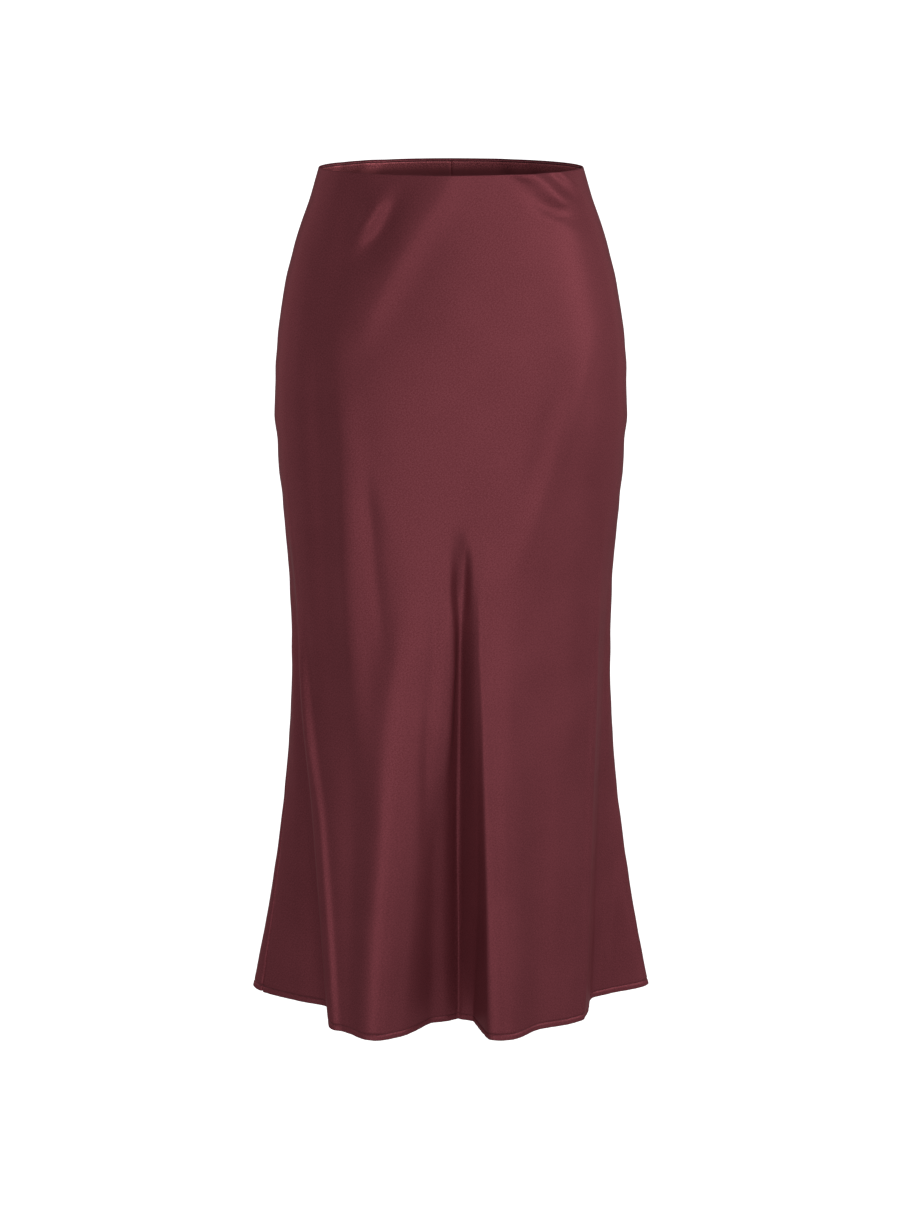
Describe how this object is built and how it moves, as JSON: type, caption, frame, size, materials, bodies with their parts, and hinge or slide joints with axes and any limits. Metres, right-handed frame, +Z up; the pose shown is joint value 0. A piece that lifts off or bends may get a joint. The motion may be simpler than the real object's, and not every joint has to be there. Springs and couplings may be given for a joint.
{
  "type": "bias-cut maxi skirt",
  "caption": "Long bias-cut satin skirt, filled out as worn but hollow: smooth over the hips, falling into soft flutes at an open hem, with a narrow facing inside the waist.",
  "frame": {"origin": "centre of the waist opening, level with the top edge of the skirt", "axes": "+Z up along the standing wearer, -Y the wearer's front, +X the wearer's left side"},
  "size_m": [0.409, 0.3277, 0.841],
  "materials": {
    "satin": "soft satin, deep burgundy, woven on the bias, shining side out",
    "facing_satin": "the same burgundy cloth turned inside the waist, over flat elastic"
  },
  "bodies": {
    "root": {"front_panel": "satin", "back_panel": "satin", "waist_facing": "facing_satin"}
  },
  "joints": []
}
